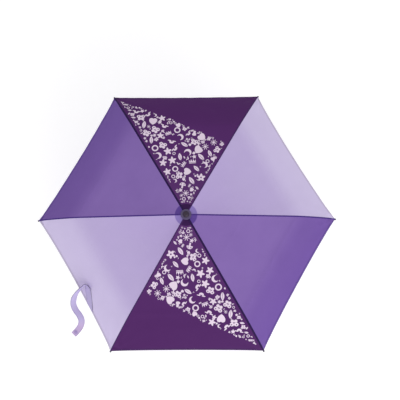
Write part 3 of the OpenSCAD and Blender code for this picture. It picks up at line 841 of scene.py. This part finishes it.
# The edge turned under: a flat loop of cloth round the hem. Each point is how far out
# it lies, and how high over the cloth.
HEM_LOOP = [(-0.0052, 0.00005), (-0.0048, 0.0004), (-0.0012, 0.0005), (0.0004, 0.0001),
            (0.0004, -0.0007), (-0.0012, -0.0011), (-0.0048, -0.0011), (-0.0052, -0.0006)]
HEM_STEPS = 26
for i in range(1, RIBS + 1):
    turn = turn_of(i)
    for side in (1, -1):
        panel = panel_of(i, side)
        kind = PANEL_CLOTHS[panel - 1]
        inward = Vector((-math.cos(math.radians(30)), -side * math.sin(math.radians(30)), 0))
        points, uvs, faces = [], [], []
        along = 0.0
        last = None
        for k in range(HEM_STEPS + 1):
            tangent = TAN_30 * (0.018 + 0.982 * k / HEM_STEPS)
            x = hem_x(tangent, panel)
            here = Vector((x, side * x * tangent, 0))
            along += (here - last).length if last is not None else 0.0
            last = here
            ripple = 0.0005 * math.sin(along / 0.011 + 3 * turn) * min(1.0, k / 4)
            for out, height in HEM_LOOP:
                place = here - inward * out
                on_cloth = here - inward * min(out, 0.0)
                z = cloth_top(on_cloth.x, on_cloth.y, turn) + (ripple if out > -0.002 else 0.0)
                n = cloth_normal(on_cloth.x, on_cloth.y, turn, side)
                points.append(Vector((place.x, place.y, z)) + n * height)
                uvs.append((-out - 0.0026, along))
        ring = len(HEM_LOOP)
        for k in range(HEM_STEPS):
            for j in range(ring):
                a, b = k * ring + j, k * ring + (j + 1) % ring
                faces.append([a, a + ring, b + ring, b])
        faces.append(list(range(ring)))
        faces.append([HEM_STEPS * ring + j for j in range(ring)][::-1])
        if side < 0:
            faces = [f[::-1] for f in faces]
        name = f"hem_{panel}_{'start' if side > 0 else 'end'}"
        o = new_piece(name, points, faces, uvs, [HEMS[kind]], turn=turn)
        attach(o, f"end_{i}")
        _, _, _, axis, anchor = canopy[(i, side, "end")]
        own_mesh(o)
        sewn_on.setdefault((i, side, "end"), []).append(o)

# Patches sewn under the cloth at each rib joint. They keep the cloth off the joint.
PATCHES = (
    # row, place of the joint, bodies on its two sides, rib it rests on, half width, half length
    ("inner", INNER_X, INNER_Z, ("rib", "mid"), "middle_rib", 0.0085, 0.011),
    ("outer", OUTER_X, OUTER_Z, ("mid", "end"), "outer_rib", 0.0100, 0.013),
)
PATCH_ROWS, PATCH_COLUMNS = 25, 7
for i in range(1, RIBS + 1):
    turn, spin = turn_of(i), turned(i)
    for row, joint_x, joint_z, bodies, rib, half, reach in PATCHES:
        top, normals, uvs = [], [], []
        for r in range(PATCH_ROWS):
            x = joint_x + reach * (2 * r / (PATCH_ROWS - 1) - 1)
            n = cloth_normal(x, 0.0, turn, 1)
            n = Vector((n.x, 0, n.z)).normalized()
            for c in range(PATCH_COLUMNS):
                y = half * (2 * c / (PATCH_COLUMNS - 1) - 1)
                top.append(Vector((x, y, cloth_top(x, y, turn))) - n * (CLOTH + 0.0001))
                normals.append(n)
                uvs.append((y, x))
        points, faces, _, corners = slab(PATCH_ROWS, PATCH_COLUMNS, top, normals, 0.0005, False)
        o = new_piece(f"patch_{row}_{i}", points, faces, uvs * 2, [SEAMS[2]], None, corners, turn)
        start, end = (tuple(spin @ Vector((joint_x + d, 0, joint_z))) for d in (-0.005, 0.005))
        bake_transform(o)
        2 * half
        2 * reach

# The doubled cloth under the hub, cut with the panels so that it folds down with the ribs
DISC = (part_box("canopy_rosette")[1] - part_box("canopy_rosette")[0]).x / 2
DISC_HOLE = 0.0075
DISC_ROWS, DISC_COLUMNS = 12, 17
for i in range(1, RIBS + 1):
    turn, spin = turn_of(i), turned(i)
    n = Vector((0.12, 0, 1)).normalized()
    top, normals, uvs = [], [], []
    for r in range(DISC_ROWS):
        far = DISC_HOLE + (DISC - DISC_HOLE) * r / (DISC_ROWS - 1)
        for c in range(DISC_COLUMNS):
            angle = math.radians(30) * (2 * c / (DISC_COLUMNS - 1) - 1)
            x, y = far * math.cos(angle), far * math.sin(angle)
            top.append(Vector((x, y, cloth_top(x, y, turn) - CLOTH - 0.0003)))
            normals.append(n)
            uvs.append((DISC - far - 0.0025, angle * 0.04))
    points, faces, _, corners = slab(DISC_ROWS, DISC_COLUMNS, top, normals, 0.0006, False)
    o = new_piece(f"rosette_{i}", points, faces, uvs * 2, [ROSETTE], None, corners, turn)
    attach(o, f"rib_{i}")
    tuple(spin @ Vector((0, 1, 0)))
    tuple(spin @ Vector((0.02, 0, HUB)))
    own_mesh(o)
    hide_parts("canopy_rosette")

for (i, side, section), (o, area, top, _, _) in canopy.items():
    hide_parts(f"panel_{panel_of(i, side)}")
    xs = [p.x for p in top]
    width = round(max(abs(p.y) for p in top) / math.cos(math.radians(8)), 3)


# ---------------------------------------------------------------- closure strap

def smooth_path(points, count):
    """Points evenly spaced along a smooth curve through the given ones, and its length."""
    p = [Vector(q) for q in points]
    p = [2 * p[0] - p[1]] + p + [2 * p[-1] - p[-2]]
    fine = []
    for a, b, c, d in zip(p, p[1:], p[2:], p[3:]):
        for t in np.linspace(0, 1, 20, endpoint=False):
            fine.append(0.5 * (2 * b + (c - a) * t + (2 * a - 5 * b + 4 * c - d) * t * t
                               + (3 * b - a - 3 * c + d) * t ** 3))
    fine.append(p[-2])
    steps = [Vector((b - a)[:3]).length for a, b in zip(fine, fine[1:])]
    gone = np.concatenate([[0], np.cumsum(steps)])
    want = np.linspace(0, gone[-1], count)
    columns = [np.interp(want, gone, values) for values in np.array([list(q) for q in fine]).T]
    return [Vector(values) for values in zip(*columns)], float(gone[-1])


def beside_rib(x, y, i):
    """A place in plan, as the distances along rib i and across it."""
    c, s = math.cos(turn_of(i)), math.sin(turn_of(i))
    return x * c + y * s, y * c - x * s


def under_strap(x, y):
    """Height of the cloth's top on the half of panel 4 beside rib 5, where the strap is sewn."""
    return cloth_top(*beside_rib(x, y, 5), turn_of(5))


def hem_room(p):
    """How far inside panel 4's hem a place lies, along the ribs."""
    along, across = beside_rib(p.x, p.y, 4)
    row = along + across / ROOT_3
    share = min(max(2 * across / (ROOT_3 * row), 0.0), 1.0)
    return hem_row(share, 4) - STRAP_INSET - row


def cut_at_hem(ends):
    """How much of a line across the strap is inside the hem, as shares from -1 to 1."""
    left, right = (hem_room(p) for p in ends)
    first = -1.0 if left > 0 else 1 - 2 * right / (right - left)
    last = 1.0 if right > 0 else -1 + 2 * left / (left - right)
    return first, last


# The route of the CAD strap: place in plan, height, turn about its own line. The sewn
# part's heights are above the cloth, the free part's above the cloth's rim.
STRAP_SEWN = [
    (-0.3035, -0.292, 0.0012, -33), (-0.304, -0.277, 0.0012, -33), (-0.305, -0.262, 0.0012, -29),
    (-0.307, -0.243, 0.0012, -27), (-0.309, -0.226, 0.0018, -27), (-0.310, -0.216, 0.0056, -45)]
STRAP_FREE = [
    (-0.312, -0.211, 0.039, -75), (-0.316, -0.209, 0.041, -86), (-0.323, -0.214, 0.037, -86),
    (-0.336, -0.224, 0.026, -80), (-0.349, -0.237, 0.014, -66), (-0.357, -0.252, 0.004, -48),
    (-0.360, -0.268, -0.008, -38), (-0.355, -0.285, -0.019, -32), (-0.345, -0.301, -0.029, -26),
    (-0.339, -0.318, -0.039, -18), (-0.343, -0.335, -0.049, -10), (-0.354, -0.350, -0.057, 0),
    (-0.368, -0.364, -0.063, 0)]
RIM = float(min(v.co.z for v in nodes["panel_4"].data.vertices))
STRAP_WIDTH, STRAP_THICKNESS = 0.020, 0.0011
STRAP_INSET = 0.0008    # from the sewn end's cut to the hem
SEWN_LENGTH = 0.08      # along the strap, the part that the hem can cut
STRAP_STEPS = 110
STRAP_STATIONS = [-1.0, -0.93, -0.8, -0.4, 0.0, 0.4, 0.8, 0.93, 1.0]    # across it, in half widths
path = [(x, y, under_strap(x, y) + above, twist) for x, y, above, twist in STRAP_SEWN]
path += [(x, y, RIM + above, twist) for x, y, above, twist in STRAP_FREE]
line, strap_length = smooth_path(path, STRAP_STEPS)
top, normals, uvs = [], [], []
for k, q in enumerate(line):
    here, twist = Vector(q[:3]), math.radians(q[3])
    before, after = line[max(k - 1, 0)], line[min(k + 1, STRAP_STEPS - 1)]
    ahead = Vector((after - before)[:3]).normalized()
    level = Vector((-ahead.y, ahead.x, 0)).normalized()
    up = ahead.cross(level)
    across = level * math.cos(twist) + up * math.sin(twist)
    n = (up * math.cos(twist) - level * math.sin(twist)).normalized()
    far = k / (STRAP_STEPS - 1) * strap_length
    first, last = -1.0, 1.0
    if here.z >= RIM + 0.002 and far <= SEWN_LENGTH:
        first, last = cut_at_hem([here + across * (side * STRAP_WIDTH / 2) for side in (-1, 1)])
    for station in STRAP_STATIONS:
        share = first + (last - first) * (station + 1) / 2
        # the edges ripple, and the middle is a little full
        ruffle = 0.0003 * math.sin(far / 0.0065 + share * 1.5) * share * share
        if abs(share) < 0.86:
            ruffle += 0.00035 * (1 - (abs(share) * 1.15) ** 2)
        top.append(here + across * (share * STRAP_WIDTH / 2) + n * ruffle)
        normals.append(n)
        uvs.append((share * STRAP_WIDTH / 2, far))
points, faces, _, corners = slab(STRAP_STEPS, len(STRAP_STATIONS), top, normals, STRAP_THICKNESS, False)
strap = new_piece("closure_strap_cloth", points, faces, uvs * 2, [STRAP], None, corners)
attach(strap, "strap_unit")
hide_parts("closure_strap")


def lathe(name, outline, centre, tilt, material, segments=48):
    """A turned piece with a smooth outline of radius and height."""
    points, faces = [], []
    for r, z in outline:
        for k in range(segments):
            angle = 2 * math.pi * k / segments
            points.append(Vector((r * math.cos(angle), r * math.sin(angle), z)))
    for j in range(len(outline) - 1):
        for k in range(segments):
            a, b = j * segments + k, j * segments + (k + 1) % segments
            faces.append([a, b, b + segments, a + segments])
    faces.append(list(range(segments))[::-1])
    faces.append([(len(outline) - 1) * segments + k for k in range(segments)])
    mesh = bpy.data.meshes.new(name)
    mesh.from_pydata([tuple(tilt @ p + centre) for p in points], [], faces)
    mesh.materials.append(material)
    mesh.polygons.foreach_set("use_smooth", [True] * len(faces))
    mesh.update()
    o = bpy.data.objects.new(name, mesh)
    bpy.context.scene.collection.objects.link(o)
    return o


# the snap stud, near the strap's free end
STUD_OUTLINE = [
    (0.0030, -0.0002), (0.0056, 0.0000), (0.0059, 0.0004), (0.0057, 0.0009), (0.0046, 0.0013),
    (0.0036, 0.0012), (0.0032, 0.0011), (0.0027, 0.0016), (0.0016, 0.0021), (0.0004, 0.0022)]
STUD_STEP = STRAP_STEPS - 5
stud_up = normals[STUD_STEP * len(STRAP_STATIONS) + len(STRAP_STATIONS) // 2]
stud = lathe("strap_stud", STUD_OUTLINE, Vector(line[STUD_STEP][:3]) + stud_up * 0.0004,
             stud_up.to_track_quat("Z", "Y").to_matrix(), STUD)
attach(stud, "strap_unit")
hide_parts("strap_fastener")


# ---------------------------------------------------------------- room, light and camera

FLOOR_HALF = 60.0       # half the floor's side
floor_corners = [(x * FLOOR_HALF, y * FLOOR_HALF, 0) for x, y in ((-1, -1), (1, -1), (1, 1), (-1, 1))]
floor_mesh = bpy.data.meshes.new("floor")
floor_mesh.from_pydata(floor_corners, [], [[0, 1, 2, 3]])
floor = bpy.data.objects.new("floor", floor_mesh)
floor.location.z = cad_low.z - 0.0004
bpy.context.scene.collection.objects.link(floor)
paper = Mat("floor_paper", rough=0.9)
paper.shader.inputs["Specular IOR Level"].default_value = 0.1
mottle = paper.noise(paper.coords(), 3.0) * 0.1
paper.colour(paper.mix(mottle, (0.93, 0.93, 0.935, 1), (0.9, 0.9, 0.905, 1)))
paper.shader.inputs["Emission Color"].default_value = (1, 1, 1, 1)
paper.shader.inputs["Emission Strength"].default_value = 0.26
floor_mesh.materials.append(paper.material)

world = bpy.data.worlds.new("studio")
world.use_nodes = True
background = world.node_tree.nodes["Background"]
background.inputs["Color"].default_value = (1.0, 1.0, 1.0, 1)
background.inputs["Strength"].default_value = 0.78
bpy.context.scene.world = world


def softbox(name, place, target, size, watts):
    light = bpy.data.lights.new(name, "AREA")
    light.shape, light.size, light.energy = "SQUARE", size, watts
    o = bpy.data.objects.new(name, light)
    o.location = place
    o.rotation_mode = "QUATERNION"
    o.rotation_quaternion = (Vector(target) - Vector(place)).to_track_quat("-Z", "Y")
    bpy.context.scene.collection.objects.link(o)


centre = (cad_low + cad_high) / 2
softbox("key", centre + Vector((1.08, -2.31, 1.5)), centre, 2.2, 36)
softbox("fill", centre + Vector((-1.4, 1.2, 2.0)), centre, 2.4, 2.0)

# The camera is fitted to the photo: it looks down on the ring of tips from 9 degrees off the shaft.
AIM_Z, CANOPY_R = 0.4020, 0.4788        # height and radius of the ring
DISTANCE = 4.13         # in canopy radii
TILT, AZIMUTH, ROLL = (math.radians(angle) for angle in (9.0, -85.5, -0.2))
PHOTO_SIDE = 400        # in pixels, as are the ring's radius and middle in the photo
RING_RADIUS, RING_MIDDLE = 148.3, (186.5, 220.1)
SENSOR = 36.0
back = Vector((math.sin(TILT) * math.cos(AZIMUTH), math.sin(TILT) * math.sin(AZIMUTH), math.cos(TILT)))
right = Vector((0, 1, 0)).cross(back).normalized()
up = back.cross(right)
c, s = math.cos(ROLL), math.sin(ROLL)
right, up = right * c + up * s, up * c - right * s
camera = bpy.data.objects.new("camera", bpy.data.cameras.new("camera"))
bpy.context.scene.collection.objects.link(camera)
camera.location = Vector((0, 0, AIM_Z)) + back * (DISTANCE * CANOPY_R)
camera.rotation_mode = "QUATERNION"
camera.rotation_quaternion = Matrix((right, up, back)).transposed().to_quaternion()
camera.data.sensor_width = SENSOR
camera.data.lens = RING_RADIUS * DISTANCE / PHOTO_SIDE * SENSOR
camera.data.shift_x = (PHOTO_SIDE / 2 - RING_MIDDLE[0]) / PHOTO_SIDE
camera.data.shift_y = (RING_MIDDLE[1] - PHOTO_SIDE / 2) / PHOTO_SIDE
camera.data.clip_end = 200
bpy.context.scene.camera = camera
bpy.context.scene.view_settings.view_transform = "Standard"
